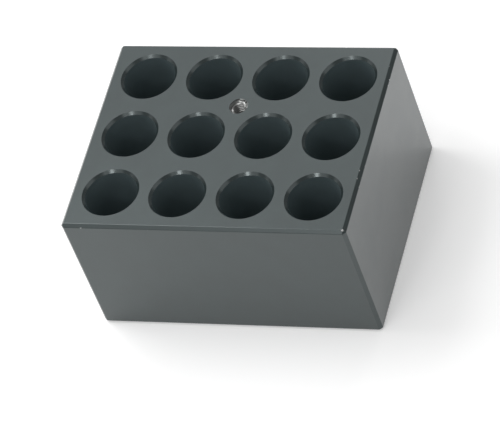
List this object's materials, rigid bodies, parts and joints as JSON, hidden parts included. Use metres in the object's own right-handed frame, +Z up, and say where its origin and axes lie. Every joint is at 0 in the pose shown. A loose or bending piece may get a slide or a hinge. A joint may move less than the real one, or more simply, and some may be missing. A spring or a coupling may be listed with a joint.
{
  "type": "dry block heater heating block",
  "caption": "Dark anodised aluminium heating block for a dry block heater, with a grid of round tube wells and a small threaded lifting hole.",
  "frame": {"origin": "middle of the block's underside", "axes": "+X to the right along the row of four wells, +Y to the back, +Z up out of the wells"},
  "size_m": [0.095, 0.076, 0.05],
  "materials": {
    "anodised_aluminium": "dark grey anodised, fine satin",
    "stainless_wire": "bright drawn wire"
  },
  "bodies": {
    "root": {"heating_block": "anodised_aluminium", "thread_insert": "stainless_wire"}
  },
  "joints": []
}
